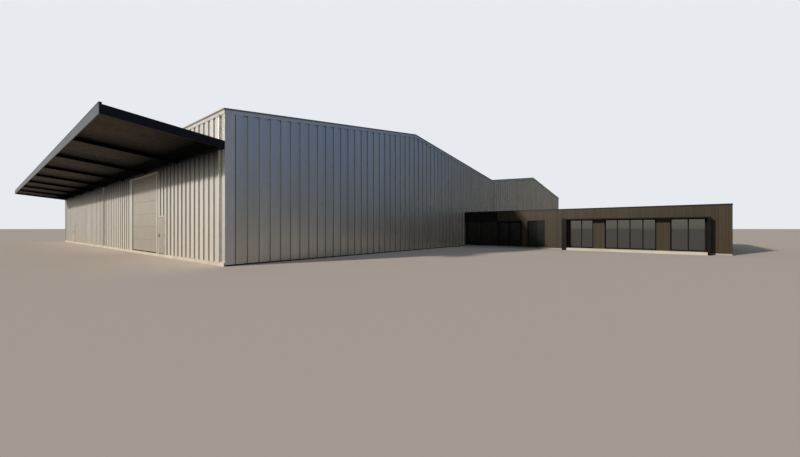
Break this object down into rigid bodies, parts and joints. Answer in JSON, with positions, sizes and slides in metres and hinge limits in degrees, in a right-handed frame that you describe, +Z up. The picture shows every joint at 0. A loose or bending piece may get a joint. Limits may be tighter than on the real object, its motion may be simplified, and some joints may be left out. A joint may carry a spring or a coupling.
{
  "type": "factory building, 1:2 scale model",
  "caption": "Twin-gable factory hall in ribbed metal cladding with a long cantilever canopy over its loading side and a low flat-roofed office wing, as a half-size model.",
  "frame": {"origin": "centre of the whole footprint, at ground level", "axes": "+X along the gable front, from the canopy side to the far side; +Y back along the canopy wall; +Z up"},
  "size_m": [29.054, 29.554, 4.23],
  "materials": {
    "cladding_grey": "satin ribbed sheet",
    "trim_pale": "satin folded sheet",
    "frame_steel": "satin primed steel",
    "canopy_black": "satin",
    "canopy_soffit": "matte sheet",
    "office_bronze": "satin board cladding",
    "door_grey": "satin sheet",
    "concrete": "matte cast concrete",
    "roof_membrane": "matte",
    "window_black": "satin powder coat",
    "glass_tinted": "clear tinted"
  },
  "bodies": {
    "building": {"hall_floor": "concrete", "left_kerb": "concrete", "base_strip": "canopy_black", "front_gable_wall": "cladding_grey", "back_gable_wall": "cladding_grey", "right_wall": "cladding_grey", "left_wall_panels": "cladding_grey", "left_wall_lintels": "cladding_grey", "corner_flashings": "trim_pale", "roof_edge_bands": "cladding_grey", "roof_edge_cappings": "canopy_black", "roof_gutters": "trim_pale", "roof_slopes": "cladding_grey", "ridge_caps": "trim_pale", "downpipes": "trim_pale", "frame_columns": "frame_steel", "frame_rafters": "frame_steel", "loading_door": "door_grey", "loading_door_trims": "trim_pale", "personnel_door_frames": "trim_pale", "canopy_beams": "canopy_black", "canopy_ledger": "canopy_black", "canopy_fascia": "trim_pale", "canopy_end_fascias": "canopy_black", "canopy_deck": "cladding_grey", "canopy_soffit": "canopy_soffit", "canopy_capping": "canopy_black", "office_floor": "concrete", "office_front_wall": "office_bronze", "office_entrance_lintel": "office_bronze", "screen_fascia": "window_black", "office_end_wall": "office_bronze", "office_rear_wall": "office_bronze", "office_roof": "roof_membrane", "office_capping": "canopy_black", "window_surround": "window_black", "window_plinth": "concrete", "window_frames": "window_black", "window_glass": "glass_tinted", "entrance_frame": "window_black", "entrance_screen_glass": "glass_tinted"},
    "near_personnel_leaf": {"near_personnel_door": "door_grey", "near_door_handle": "window_black"},
    "far_personnel_leaf": {"far_personnel_door": "door_grey", "far_door_handle": "window_black"},
    "entrance_leaf_left": {"entrance_door_left": "window_black", "entrance_left_glass": "glass_tinted"},
    "entrance_leaf_right": {"entrance_door_right": "window_black", "entrance_right_glass": "glass_tinted"}
  },
  "joints": [
    {"name": "near_personnel_hinge", "type": "hinge", "parent": "building", "child": "near_personnel_leaf", "pos_m": [-12.5374, -2.397, 0.597], "axis": [0, 0, 1], "range_deg": [0, 100]},
    {"name": "far_personnel_hinge", "type": "hinge", "parent": "building", "child": "far_personnel_leaf", "pos_m": [-12.5374, 11.518, 0.597], "axis": [0, 0, 1], "range_deg": [0, 100]},
    {"name": "entrance_left_hinge", "type": "hinge", "parent": "building", "child": "entrance_leaf_left", "pos_m": [-1.9234, -7.639, 0.565], "axis": [0, 0, -1], "range_deg": [0, 90]},
    {"name": "entrance_right_hinge", "type": "hinge", "parent": "building", "child": "entrance_leaf_right", "pos_m": [-1.9234, -8.596, 0.565], "axis": [0, 0, 1], "range_deg": [0, 90]}
  ]
}
